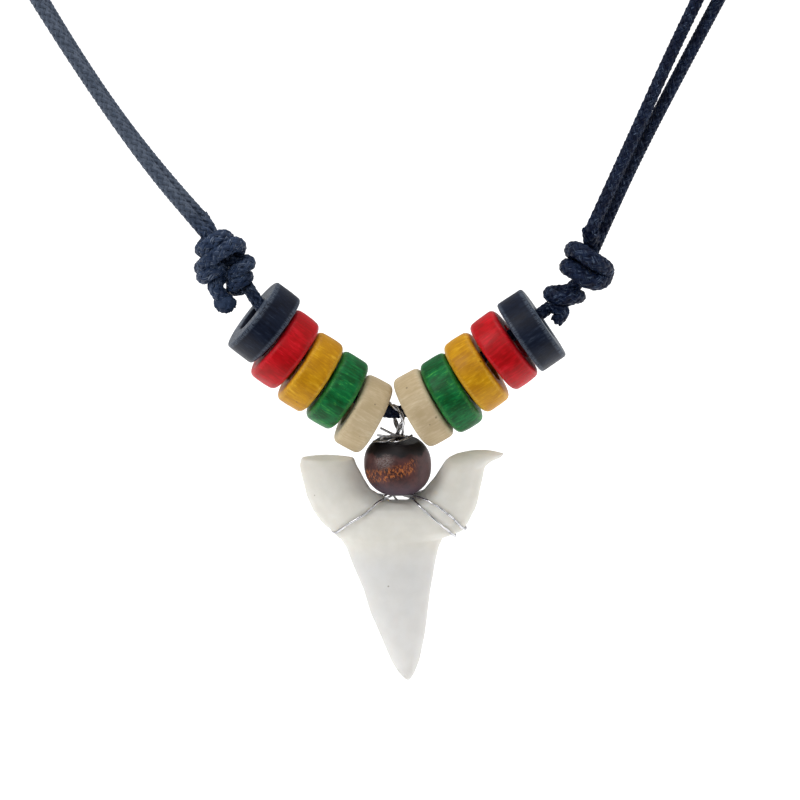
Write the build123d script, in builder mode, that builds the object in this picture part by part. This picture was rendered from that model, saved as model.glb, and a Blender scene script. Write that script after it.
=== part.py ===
# Shark tooth necklace: wooden discs and a wired tooth on a waxed cord with two sliding knots.
# Millimetres. +Z is up, +X is to the right seen from the front, and the front faces -Y.
# The origin is where the pair of cord strands hangs at the nape.
from build123d import *
import math
import os

os.makedirs("parts", exist_ok=True)

# Cord
cord_diameter = 1.8
fit_gap = 0.12

# Disc beads
bead_diameter = 10.5
bead_thickness = 3.9
bead_hole = 5.0
bead_edge_radius = 0.7
black_edge_radius = 0.35
low_point_to_natural = 4.1

# Ball bead
ball_diameter = 8.8
ball_flat_diameter = 5.5
ball_hole = 1.6
cord_to_ball = 3.8

# Pendant wire
wire_diameter = 0.4
wire_twist_diameter = 0.9
wire_loop_bore = 2.5
wire_wrap_diameter = 3.2

# Tooth
tooth_height = 31.4
tooth_width = 26.6
tooth_depth = 6.0
ball_to_notch = 1.5

# Knots
tail_bulb_diameter = 2.7
coil_loose = 0.5
coil_steps = 8

# The front of the loop hangs in one upright plane, below and before the nape.
front_y = -12.0
low_z = -145.5

cord_radius = cord_diameter / 2
wire_radius = wire_diameter / 2


# Routes: hand-chosen points on the cord's path, from left to right.

bead_thread_left = [
    (-19.3, front_y, low_z + 16.8),
    (-17.2, front_y, low_z + 13.3),
    (-14.2, front_y, low_z + 9.6),
    (-9.0, front_y, low_z + 5.0),
    (-2.7, front_y, low_z - 0.2),
]
bead_thread_right = [
    (2.9, front_y, low_z + 0.2),
    (8.7, front_y, low_z + 5.2),
    (14.9, front_y, low_z + 10.4),
    (19.8, front_y, low_z + 14.1),
]
bead_thread_route = bead_thread_left + bead_thread_right

neck_cord_front_route = [
    (-21.9, front_y, low_z + 20.5),
    (-25.1, front_y, low_z + 24.4),
    (-31.9, front_y, low_z + 32.7),
    (-41.2, front_y + 0.3, low_z + 46.5),
    (-51.7, front_y + 1.0, low_z + 64.0),
    (-54.0, front_y + 2.2, low_z + 83.0),
    (-51.8, front_y + 4.0, low_z + 103.0),
    (-43.4, front_y + 6.4, low_z + 122.0),
    (-29.0, front_y + 8.9, low_z + 137.0),
    (-11.0, front_y + 11.0, low_z + 145.3),
    (9.5, front_y + 11.0, low_z + 145.3),
    (27.0, front_y + 8.9, low_z + 137.4),
    (40.2, front_y + 6.2, low_z + 123.0),
    (47.6, front_y + 3.8, low_z + 104.0),
    (49.2, front_y + 1.9, low_z + 85.5),
    (45.2, front_y + 0.6, low_z + 68.5),
    (36.6, front_y - 0.5, low_z + 51.4),
    (29.6, front_y - 1.1, low_z + 35.2),
    (24.8, front_y - 1.45, low_z + 24.4),
]

neck_cord_back_route = [
    (-25.3, front_y + 1.95, low_z + 25.6),
    (-32.0, front_y + 2.05, low_z + 33.2),
    (-41.3, front_y + 2.4, low_z + 46.8),
    (-50.4, front_y + 3.0, low_z + 63.2),
    (-54.7, front_y + 4.1, low_z + 83.0),
    (-52.6, front_y + 5.9, low_z + 103.3),
    (-44.1, front_y + 8.3, low_z + 122.6),
    (-29.4, front_y + 10.7, low_z + 138.0),
    (-11.2, front_y + 12.9, low_z + 146.0),
    (9.7, front_y + 12.9, low_z + 146.0),
    (27.4, front_y + 10.7, low_z + 138.2),
    (41.0, front_y + 8.0, low_z + 123.4),
    (48.8, front_y + 5.5, low_z + 104.2),
    (50.7, front_y + 3.4, low_z + 85.3),
    (47.8, front_y + 1.9, low_z + 67.2),
    (38.7, front_y + 0.4, low_z + 50.0),
    (30.7, front_y + 0.6, low_z + 34.0),
    (26.1, front_y + 0.4, low_z + 23.4),
    (23.7, front_y, low_z + 17.9),
]


arc_share = 0.45


def corner_radii(points):
    """Arc at each inner point, taking a fixed share of its shorter run."""
    radii = []
    for before, here, after in zip(points, points[1:], points[2:]):
        arriving = Vector(here) - Vector(before)
        leaving = Vector(after) - Vector(here)
        half_turn = math.radians(arriving.get_angle(leaving)) / 2
        shorter = min(arriving.length, leaving.length)
        radii.append(arc_share * shorter / math.tan(half_turn))
    return radii


def strand_path(points):
    """Straight runs joined by tangent arcs."""
    with BuildLine():
        path = FilletPolyline(*points, radius=corner_radii(points))
    return path


def round_strand(points, radius):
    """Round cord or wire along a path."""
    path = strand_path(points)
    with BuildPart() as strand:
        with BuildSketch(Plane(path @ 0, z_dir=path % 0)):
            Circle(radius)
        sweep(path=path)
    return strand.part


def cord_tube(points, name):
    tube = round_strand(points, cord_radius)
    length = strand_path(points).length
    expected = math.pi * cord_radius**2 * length
    radii = " ".join(f"{radius:.1f}" for radius in corner_radii(points))
    print(f"{name} length {length:.1f}, volume {tube.volume:.1f} of {expected:.1f}, radii {radii}")
    return tube


def save(part, name):
    part.label = name
    export_step(part, f"parts/{name}.step")


save(cord_tube(bead_thread_route, "bead_thread"), "bead_thread")
save(cord_tube(neck_cord_front_route, "neck_cord_front"), "neck_cord_front")
save(cord_tube(neck_cord_back_route, "neck_cord_back"), "neck_cord_back")


# Disc beads: each hangs on the thread by the top of its hole.
# A bead's lean is its axis's slope less the thread's, its gap is a share of its thickness, and
# its turn is that of its axis about the upright.

low_point = (Vector(bead_thread_left[-1]) + Vector(bead_thread_right[0])) / 2
left_side_route = [low_point] + [Vector(p) for p in reversed(bead_thread_left)]
right_side_route = [low_point] + [Vector(p) for p in bead_thread_right]

left_beads = [
    # colour, gap before it, lean, turn from the viewer, share of the hang, share of the width
    ("natural", 0.050, -11.0, 0.0, 1.00, 0.955),
    ("green", 0.155, -7.5, 0.0, 0.68, 0.97),
    ("yellow", 0.095, -7.5, 0.0, 1.00, 1.00),
    ("red", 0.120, -4.5, 0.0, 0.84, 1.00),
    ("black", 0.120, -12.0, 0.0, 0.80, 1.00),
]
right_beads = [
    # colour, gap before it, lean, turn from the viewer, share of the hang, share of the width
    ("natural", -0.158, -11.0, 0.0, 0.05, 0.955),
    ("green", 0.078, -9.6, 1.0, 0.80, 0.99),
    ("yellow", 0.080, -6.0, 1.0, 0.73, 1.00),
    ("red", 0.168, -3.6, 1.5, 0.68, 1.00),
    ("black", 0.146, -2.8, 4.0, 0.77, 1.00),
]


def thread_station(route, distance):
    """Point and direction on the thread's runs, so far from the low point."""
    for start, end in zip(route, route[1:]):
        run = end - start
        if distance <= run.length:
            break
        distance -= run.length
    return start + run.normalized() * distance, run.normalized()


def disc_bead(point, along, row, edge_radius):
    lean, turn, hang_share, width_share = row
    side = 1 if along.X > 0 else -1
    slope = math.degrees(math.atan2(along.Z, abs(along.X))) + lean
    outward = Vector(side * math.cos(math.radians(slope)), 0, math.sin(math.radians(slope)))
    upward = Vector(-side * math.sin(math.radians(slope)), 0, math.cos(math.radians(slope)))
    direction = outward * math.cos(math.radians(turn)) + Vector(0, math.sin(math.radians(turn)), 0)
    slack = bead_hole / 2 - cord_radius - fit_gap
    slack -= bead_thickness / 2 * math.sin(math.radians(abs(lean)))
    centre = point - upward * slack * hang_share
    with BuildPart() as bead:
        with BuildSketch(Plane(centre, x_dir=upward, z_dir=direction)):
            Circle(bead_diameter / 2 * width_share)
            Circle(bead_hole / 2, mode=Mode.SUBTRACT)
        extrude(amount=bead_thickness / 2, both=True)
        rims = bead.edges().filter_by(GeomType.CIRCLE).group_by(SortBy.RADIUS)[-1]
        fillet(rims, radius=edge_radius)
    return bead.part


for side, route, rows in (
    ("left", left_side_route, left_beads),
    ("right", right_side_route, right_beads),
):
    distance = low_point_to_natural - bead_thickness
    for colour, gap, *row in rows:
        distance += bead_thickness * (1 + gap)
        point, along = thread_station(route, distance)
        edge_radius = black_edge_radius if colour == "black" else bead_edge_radius
        save(disc_bead(point, along, row, edge_radius), f"{side}_{colour}_bead")


# Ball bead: a turned wooden ball, flat where it is drilled from top to bottom.

ball_top_z = low_z - cord_to_ball
ball_bottom_z = ball_top_z - math.sqrt(ball_diameter**2 - ball_flat_diameter**2)
ball_flat_radius = ball_flat_diameter / 2

with BuildPart() as ball_bead:
    with BuildSketch(Plane(low_point, x_dir=(1, 0, 0), z_dir=(0, -1, 0))):
        with BuildLine():
            top = (ball_flat_radius, ball_top_z - low_z)
            bottom = (ball_flat_radius, ball_bottom_z - low_z)
            waist = (ball_diameter / 2, (ball_top_z + ball_bottom_z) / 2 - low_z)
            ThreePointArc(top, waist, bottom)
            Polyline(bottom, (ball_hole / 2, bottom[1]), (ball_hole / 2, top[1]), top)
        make_face()
    revolve(axis=Axis(low_point, (0, 0, 1)))
save(ball_bead.part, "ball_bead")


# Tooth: a flat blade under a root with two raised lobes and a hooked right corner.
# Up is a share of tooth_height, left and right of tooth_width from the wire's line,
# depth a share of tooth_depth, and each edge the share of the depth that its rim keeps.

blade_rows = [
    # up, left, right, depth, left edge, right edge
    (0.000, 0.040, 0.062, 0.09, 0.60, 0.60),
    (0.036, 0.000, 0.085, 0.27, 0.50, 0.50),
    (0.088, -0.033, 0.109, 0.40, 0.42, 0.42),
    (0.190, -0.082, 0.133, 0.53, 0.38, 0.38),
    (0.290, -0.131, 0.148, 0.64, 0.35, 0.35),
    (0.400, -0.170, 0.162, 0.74, 0.35, 0.35),
    (0.500, -0.218, 0.182, 0.84, 0.38, 0.38),
    (0.580, -0.253, 0.201, 0.90, 0.42, 0.42),
    (0.640, -0.295, 0.232, 0.94, 0.46, 0.46),
]
root_rows = [
    # up, left, right, depth, left edge, right edge
    (0.630, -0.300, 0.240, 0.95, 0.50, 0.50),
    (0.660, -0.331, 0.323, 0.97, 0.52, 0.52),
    (0.700, -0.380, 0.353, 1.00, 0.55, 0.55),
    (0.735, -0.409, 0.371, 0.97, 0.55, 0.55),
    (0.764, -0.403, 0.366, 0.78, 0.50, 0.50),
    (0.780, -0.388, 0.352, 0.38, 0.45, 0.45),
]
left_lobe_rows = [
    # up, left, right, depth, left edge, right edge
    (0.700, -0.363, -0.030, 0.86, 0.55, 0.30),
    (0.745, -0.416, -0.016, 0.94, 0.60, 0.26),
    (0.780, -0.433, -0.022, 0.96, 0.60, 0.24),
    (0.807, -0.447, -0.080, 0.93, 0.60, 0.24),
    (0.833, -0.453, -0.132, 0.88, 0.60, 0.25),
    (0.885, -0.468, -0.169, 0.80, 0.60, 0.28),
    (0.936, -0.482, -0.199, 0.70, 0.60, 0.36),
    (0.972, -0.474, -0.214, 0.58, 0.55, 0.45),
]
right_lobe_rows = [
    # up, left, right, depth, left edge, right edge
    (0.700, 0.040, 0.335, 0.86, 0.30, 0.55),
    (0.745, 0.020, 0.379, 0.94, 0.26, 0.60),
    (0.780, 0.028, 0.392, 0.96, 0.24, 0.60),
    (0.807, 0.084, 0.397, 0.93, 0.24, 0.60),
    (0.833, 0.129, 0.402, 0.88, 0.25, 0.60),
    (0.885, 0.180, 0.416, 0.80, 0.28, 0.60),
    (0.936, 0.216, 0.429, 0.72, 0.34, 0.55),
    (0.958, 0.231, 0.462, 0.68, 0.38, 0.45),
    (0.975, 0.252, 0.508, 0.60, 0.40, 0.40),
    (0.988, 0.282, 0.523, 0.50, 0.40, 0.40),
    (1.000, 0.335, 0.470, 0.36, 0.40, 0.40),
]
tooth_tables = [blade_rows, root_rows, left_lobe_rows, right_lobe_rows]

notch_up = 0.78
rim_inset = 0.7
widest_inset = 0.3
notch_z = ball_bottom_z - ball_to_notch
tooth_tip_z = notch_z - notch_up * tooth_height


def tooth_size(row):
    """Height, left end, right end, half depth and both half rims of a section, in millimetres."""
    up, left, right, depth, left_edge, right_edge = row
    half_depth = depth * tooth_depth / 2
    return (
        tooth_tip_z + up * tooth_height,
        low_point.X + left * tooth_width,
        low_point.X + right * tooth_width,
        half_depth,
        half_depth * left_edge,
        half_depth * right_edge,
    )


def tooth_loft(rows):
    """Solid through the sections of a table, each of two broad arcs and two rim arcs."""
    with BuildPart() as body:
        for row in rows:
            z, left, right, half_depth, left_rim, right_rim = tooth_size(row)
            middle = (left + right) / 2
            widest = (right - left) * widest_inset
            left_in = left + min(left_rim * rim_inset, widest)
            right_in = right - min(right_rim * rim_inset, widest)
            with BuildSketch(Plane((0, front_y, z))):
                with BuildLine():
                    ThreePointArc((left_in, left_rim), (left, 0), (left_in, -left_rim))
                    ThreePointArc((left_in, -left_rim), (middle, -half_depth), (right_in, -right_rim))
                    ThreePointArc((right_in, -right_rim), (right, 0), (right_in, right_rim))
                    ThreePointArc((right_in, right_rim), (middle, half_depth), (left_in, left_rim))
                make_face()
        loft(ruled=True)
    return body.part


with BuildPart() as shark_tooth:
    for rows in tooth_tables:
        add(tooth_loft(rows))
save(shark_tooth.part, "shark_tooth")


def tooth_sections(z):
    """Section of each body of the tooth that reaches a height, in millimetres."""
    sections = []
    for rows in tooth_tables:
        sizes = [tooth_size(row) for row in rows]
        for low, high in zip(sizes, sizes[1:]):
            if low[0] <= z < high[0]:
                share = (z - low[0]) / (high[0] - low[0])
                sections.append([a + (b - a) * share for a, b in zip(low, high)])
    return sections


def tooth_half_depth(x, z):
    """Half the tooth's depth at a place on its face."""
    depths = []
    for height, left, right, half_depth, left_rim, right_rim in tooth_sections(z):
        middle = (left + right) / 2
        share = abs(x - middle) / ((right - left) / 2)
        rim = right_rim if x > middle else left_rim
        if share <= 1:
            depths.append(rim + (half_depth - rim) * (1 - share**2))
    return max(depths)


# Pendant wire: one length, doubled and twisted over the cord, led down through the ball,
# spread under it, and passed over the front of the tooth and round behind its shoulders.

wire_seat = wire_radius + fit_gap
bend_room = 0.42
face_room = 0.12
stem_radius = wire_twist_diameter / 2
loop_aside = 0.75 * wire_radius
foot_z = notch_z + wire_seat + wire_radius / 2
loop_radius = wire_loop_bore / 2 + wire_radius
wrap_z = ball_top_z + wire_seat


def over_face(across, down, side):
    """Point of the wire's line on the front (-1) or back (+1) of the tooth."""
    x = low_point.X + across * tooth_width
    z = notch_z - down * tooth_height
    return (x, front_y + side * (tooth_half_depth(x, z) + wire_seat + face_room), z)


def round_shoulder(side, down):
    """Point of the wire's line just outside the tooth's edge."""
    z = notch_z - down * tooth_height
    sections = tooth_sections(z)
    left = min(section[1] for section in sections)
    right = max(section[2] for section in sections)
    x = right + wire_seat + bend_room if side > 0 else left - wire_seat - bend_room
    return (x, front_y, z)


def shoulder_loop(side, spread, rows, shoulder_down):
    """Corners of a wire from the stem over the front, round a shoulder and up behind."""
    start = (low_point.X, front_y - stem_radius / 3, foot_z)
    end = (low_point.X, front_y + stem_radius / 3, foot_z)
    edge_y = tooth_depth / 2 + bend_room
    spread_x = low_point.X + side * spread * tooth_width
    ahead = (spread_x, front_y - edge_y, foot_z)
    behind = (spread_x, front_y + edge_y, foot_z)
    front = [over_face(side * across, down, -1) for across, down in rows]
    back = [over_face(side * across, down, 1) for across, down in reversed(rows)]
    return [start, ahead] + front + [round_shoulder(side, shoulder_down)] + back + [behind, end]


# Across is a share of tooth_width and down a share of tooth_height, from the notch.
shoulder_loops = [
    # side, spread under the ball, points on the face (across, down), the shoulder's way down
    (-1, 0.060, [(0.128, 0.026), (0.211, 0.070), (0.297, 0.127)], 0.143),
    (1, 0.045, [(0.105, 0.035), (0.173, 0.086), (0.248, 0.146)], 0.162),
    (1, 0.086, [(0.154, 0.022), (0.222, 0.051), (0.301, 0.105)], 0.118),
]

shoulder_wires = []
for side, spread, rows, shoulder_down in shoulder_loops:
    wire_line = shoulder_loop(side, spread, rows, shoulder_down)
    shoulder_wires.append(round_strand(wire_line, wire_radius))

loose_ends = [
    # starts on the stem this far under the cord, and ends this far to the left and down
    (2.6, 2.1, 1.7),
    (3.0, 2.5, 2.75),
]

with BuildPart() as pendant_wire:
    for aside in (-loop_aside, loop_aside):
        beside = low_point + Vector(aside, 0, 0)
        with Locations(Plane(beside, x_dir=(0, 1, 0), z_dir=(1, 0, 0))):
            Torus(loop_radius, wire_radius)
    stem_top_z = low_z - loop_radius
    with BuildSketch(Plane((low_point.X, front_y, foot_z - wire_radius))):
        Circle(stem_radius)
    extrude(amount=stem_top_z - foot_z + wire_radius)
    with Locations((low_point.X, front_y, wrap_z)):
        Torus(wire_wrap_diameter / 2, wire_radius)
    with BuildSketch(Plane((low_point.X, front_y, wrap_z), z_dir=(1, 0, 0))):
        Circle(wire_radius)
    extrude(amount=wire_wrap_diameter / 2)
    for start_down, end_left, end_down in loose_ends:
        start = Vector(low_point.X, front_y, low_z - start_down)
        end = Vector(low_point.X - end_left, front_y, low_z - end_down)
        with BuildSketch(Plane(start, z_dir=end - start)):
            Circle(wire_radius)
        extrude(amount=(end - start).length)
    for wire in shoulder_wires:
        add(wire)
save(pendant_wire.part, "pendant_wire")


# Sliding knots: the other strand's end, wound round this one and drawn tight, then its tail.

coils = {
    # turns, rise of a turn and start above the run's middle in cord diameters, start angle, widening
    "left": (2.1, 1.12, 1.35, 100.0, 1.0),
    "right": (2.2, 1.12, 1.25, 80.0, 1.1),
}
left_tail_points = [
    (-25.4, front_y - 0.9, low_z + 18.4),
    (-24.6, front_y - 1.2, low_z + 16.4),
    (-23.0, front_y - 1.0, low_z + 14.6),
]
right_tail_route = [
    (21.6, front_y - 0.4, low_z + 15.2),
    (21.7, front_y - 0.6, low_z + 13.4),
    (21.3, front_y - 0.6, low_z + 12.0),
]


def strand_plane(start, end):
    """Plane across a strand, halfway along a run of it, with x to the lower left and y to the front."""
    along = (Vector(end) - Vector(start)).normalized()
    middle = (Vector(start) + Vector(end)) / 2
    return Plane(middle, x_dir=along.cross(Vector(0, 1, 0)) * -1, z_dir=along)


def coil_points(plane, turns, pitch, top, start_angle, widening):
    """Corners of a strand wound down round another."""
    radius = (cord_diameter + fit_gap + coil_loose) * widening / math.cos(math.pi / coil_steps)
    points = []
    for step in range(round(turns * coil_steps) + 1):
        angle = math.radians(start_angle) + 2 * math.pi * step / coil_steps
        along = (top - pitch * step / coil_steps) * cord_diameter
        points.append(plane.from_local_coords((radius * math.cos(angle), radius * math.sin(angle), along)))
    return points


left_run = neck_cord_front_route[:2]
right_run = [neck_cord_back_route[-1], neck_cord_back_route[-2]]

left_coil = coil_points(strand_plane(*left_run), *coils["left"])
left_wound_end = round_strand(left_coil + [Vector(p) for p in left_tail_points], cord_radius)
with BuildPart() as left_sliding_knot:
    add(left_wound_end)
    with Locations(left_tail_points[-1]):
        Sphere(tail_bulb_diameter / 2)
save(left_sliding_knot.part, "left_sliding_knot")

right_coil = coil_points(strand_plane(*right_run), *coils["right"])
save(round_strand(right_coil, cord_radius), "right_sliding_knot")


# Stopper knots: the cord knotted on itself, one turn over another, so that no bead passes.

stopper_turns = {
    "left": [
        # along and ring radius in cord diameters, tilt
        (0.55, 0.62, -18.0),
        (-0.45, 0.62, 20.0),
    ],
    "right": [
        # along and ring radius in cord diameters, tilt
        (0.35, 0.70, 12.0),
        (-0.50, 0.74, -12.0),
    ],
}


def stopper_knot(below, above, rows):
    """Turns round a core that runs from the end of one strand to the start of the next."""
    start = Vector(below[-1])
    end = Vector(above[0])
    plane = strand_plane(start, end)
    gaps = []
    for run in (below, above):
        turn = plane.z_dir.get_angle(Vector(run[1]) - Vector(run[0]))
        gaps.append(fit_gap + cord_radius * math.tan(math.radians(turn)))
    with BuildPart() as knot:
        with BuildSketch(Plane(start + plane.z_dir * gaps[0], z_dir=plane.z_dir)):
            Circle(cord_radius)
        extrude(amount=(end - start).length - sum(gaps))
        for along, ring_radius, tilt in rows:
            middle = plane.from_local_coords((0, 0, along * cord_diameter))
            with Locations(Plane(middle, x_dir=plane.x_dir, z_dir=plane.z_dir).rotated((0, tilt, 0))):
                Torus(ring_radius * cord_diameter, cord_radius)
    return knot.part


left_stopper_knot = stopper_knot(
    [bead_thread_route[1], bead_thread_route[0]], left_run, stopper_turns["left"]
)
save(left_stopper_knot, "left_stopper_knot")

right_turns = stopper_knot(bead_thread_route[-2:], right_run, stopper_turns["right"])
right_tail = round_strand(right_tail_route, cord_radius)
with BuildPart() as right_stopper_knot:
    add(right_turns)
    add(right_tail)
save(right_stopper_knot.part, "right_stopper_knot")
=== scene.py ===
import math

import bmesh
import bpy
import numpy as np
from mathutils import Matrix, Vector, noise
from mathutils.bvhtree import BVHTree


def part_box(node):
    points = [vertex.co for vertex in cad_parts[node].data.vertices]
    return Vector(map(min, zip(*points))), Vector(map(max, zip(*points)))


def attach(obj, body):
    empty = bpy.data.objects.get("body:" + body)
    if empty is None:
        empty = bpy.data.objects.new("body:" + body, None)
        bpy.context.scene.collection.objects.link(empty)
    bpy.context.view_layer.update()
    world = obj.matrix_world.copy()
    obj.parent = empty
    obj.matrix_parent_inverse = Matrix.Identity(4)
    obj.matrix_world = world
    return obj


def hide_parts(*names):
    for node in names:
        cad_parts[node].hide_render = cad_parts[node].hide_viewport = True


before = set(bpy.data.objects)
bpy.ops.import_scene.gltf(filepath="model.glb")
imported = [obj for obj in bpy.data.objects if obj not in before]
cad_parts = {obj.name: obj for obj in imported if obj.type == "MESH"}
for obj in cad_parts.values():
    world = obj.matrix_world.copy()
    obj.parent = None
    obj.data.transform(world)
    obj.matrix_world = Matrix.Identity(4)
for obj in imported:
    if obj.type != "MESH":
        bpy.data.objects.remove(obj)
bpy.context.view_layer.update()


# The studio: a pale floor under the hanging necklace, soft white light all round it, and a long
# lens that looks slightly down on the beads.

PHOTO_PIXELS = 800
PIXELS_PER_METRE = 7700.0
LENS_MM = 200.0
SENSOR_MM = 36.0
VIEW_DOWN = math.radians(15.0)
VIEW_CENTRE = Vector((0.00039, -0.012, -0.14389))
FLOOR_Z = -0.1850

TOWARDS_CAMERA = Vector((0, -math.cos(VIEW_DOWN), math.sin(VIEW_DOWN)))


def add_object(name, data):
    """An object at the origin, in the scene."""
    made = bpy.data.objects.new(name, data)
    bpy.context.scene.collection.objects.link(made)
    return made


camera_data = bpy.data.cameras.new("camera")
camera_data.lens = LENS_MM
camera_data.sensor_width = SENSOR_MM
camera_data.clip_start = 0.01
camera = add_object("camera", camera_data)
camera_away = PHOTO_PIXELS / PIXELS_PER_METRE * LENS_MM / SENSOR_MM
camera.location = VIEW_CENTRE + camera_away * TOWARDS_CAMERA
camera.rotation_euler = (math.radians(90) - VIEW_DOWN, 0, 0)
bpy.context.scene.camera = camera
bpy.context.scene.view_settings.view_transform = "Standard"


class Socket:
    """An output in a node tree: sums on it add Math nodes, and node() adds any other node."""

    def __init__(self, tree, output=None):
        self.tree = tree
        self.output = output

    def node(self, kind, settings=None, inputs=None, output=0):
        made = self.tree.nodes.new(kind)
        for key, value in (settings or {}).items():
            setattr(made, key, value)
        for key, value in (inputs or {}).items():
            if isinstance(value, Socket):
                self.tree.links.new(value.output, made.inputs[key])
            else:
                made.inputs[key].default_value = value
        return Socket(self.tree, made.outputs[output] if len(made.outputs) else None)

    def of(self, name):
        """Another output of the same node."""
        return Socket(self.tree, self.output.node.outputs[name])

    def math(self, operation, *values):
        return self.node("ShaderNodeMath", {"operation": operation}, dict(enumerate(values)))

    def vector(self, operation, *values, output=0):
        return self.node("ShaderNodeVectorMath", {"operation": operation}, dict(enumerate(values)), output)

    def scaled(self, factor):
        return self.node("ShaderNodeVectorMath", {"operation": "SCALE"}, {0: self, 3: factor})

    def between(self, low, high, first=0.0, last=1.0):
        """first at or below low, last at or above high, and smooth between them."""
        settings = {"interpolation_type": "SMOOTHSTEP"}
        return self.node("ShaderNodeMapRange", settings, {0: self, 1: low, 2: high, 3: first, 4: last})

    def mix(self, factor, first, second):
        """A colour that goes from first to second as the factor goes from 0 to 1."""
        colours = [(*c, 1.0) if isinstance(c, tuple) else c for c in (first, second)]
        return self.node("ShaderNodeMix", {"data_type": "RGBA"}, {0: factor, 6: colours[0], 7: colours[1]}, 2)

    def grain(self, place, scale, detail=2.0, roughness=0.5):
        values = {"Vector": place, "Scale": scale, "Detail": detail, "Roughness": roughness}
        return self.node("ShaderNodeTexNoise", None, values)

    def specks(self, place, scale):
        """Distance from scattered points, for pits and dust."""
        return self.node("ShaderNodeTexVoronoi", None, {"Vector": place, "Scale": scale}, "Distance")

    def __add__(self, other):
        return self.math("ADD", self, other)

    def __sub__(self, other):
        return self.math("SUBTRACT", self, other)

    def __rsub__(self, other):
        return self.math("SUBTRACT", other, self)

    def __mul__(self, other):
        return self.math("MULTIPLY", self, other)

    def __rmul__(self, other):
        return self.math("MULTIPLY", other, self)

    def __truediv__(self, other):
        return self.math("DIVIDE", self, other)

    def __mod__(self, other):
        return self.math("FLOORED_MODULO", self, other)


def new_finish(name):
    """A material and the start of its node tree."""
    material = bpy.data.materials.new(name)
    material.use_nodes = True
    material.node_tree.nodes.clear()
    return material, Socket(material.node_tree)


def surface(start, values):
    """The shader of a finish, from its sockets' values and links."""
    shader = start.node("ShaderNodeBsdfPrincipled", None, values)
    start.node("ShaderNodeOutputMaterial", None, {"Surface": shader})


# the world is bright behind the necklace and nearly dark on the camera's side
WORLD_LIGHT = 0.55
DARK_SIDE = 0.10

world = bpy.data.worlds.new("studio")
world.use_nodes = True
world.node_tree.nodes.clear()
sky = Socket(world.node_tree)
towards = sky.node("ShaderNodeTexCoord", None, None, "Generated")
facing = sky.vector("DOT_PRODUCT", towards, tuple(TOWARDS_CAMERA), output=1)
dimmed = facing.between(-0.1, 0.8, 1.0, DARK_SIDE)
light = sky.node("ShaderNodeBackground", None, {1: dimmed * WORLD_LIGHT})
sky.node("ShaderNodeOutputWorld", None, {0: light})
bpy.context.scene.world = world

# each softbox: place, size across, watts
for softbox_name, place, across, watts in (
    ("softbox_upper_left", (-0.50, -0.34, 0.24), 0.36, 2.4),
    ("softbox_right", (0.60, -0.10, 0.05), 0.45, 1.2),
    ("softbox_above", (0.05, 0.00, 0.60), 0.50, 2.2),
    ("softbox_front_above", (0.04, -0.78, 0.40), 0.62, 2.1),
):
    softbox = bpy.data.lights.new(softbox_name, "AREA")
    softbox.size = across
    softbox.energy = watts
    lamp = add_object(softbox_name, softbox)
    lamp.location = place
    lamp.rotation_euler = (VIEW_CENTRE - lamp.location).to_track_quat("-Z", "Y").to_euler()

floor_finish, start = new_finish("pale floor")
surface(
    start,
    {
        "Base Color": (0.60, 0.60, 0.60, 1.0),
        "Roughness": 0.30,
        "Specular IOR Level": 0.3,
        "Emission Color": (1.0, 1.0, 1.0, 1.0),
        "Emission Strength": 0.80,
    },
)
floor_mesh = bpy.data.meshes.new("floor")
corners = [(x, y, FLOOR_Z) for x, y in ((-0.5, -0.075), (0.5, -0.075), (1.5, 3.0), (-1.5, 3.0))]
floor_mesh.from_pydata(corners, [], [(0, 1, 2, 3)])
floor_mesh.materials.append(floor_finish)
floor = add_object("floor", floor_mesh)


# The cord: 1.8 mm waxed polyester, braided from twelve flat strands over a core. Two strands of
# it run side by side round the neck, and each end is wound round the other strand in a knot.

FRONT = Vector((0.0, -0.012, -0.1455))


def near_front(x, y, z):
    """A point in millimetres from the lowest point of the bead thread, in metres."""
    return FRONT + Vector((x, y, z)) * 0.001


# millimetres by which each strand's scuffs start away from the last one's
STRAND_SHIFT = 41.0


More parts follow.
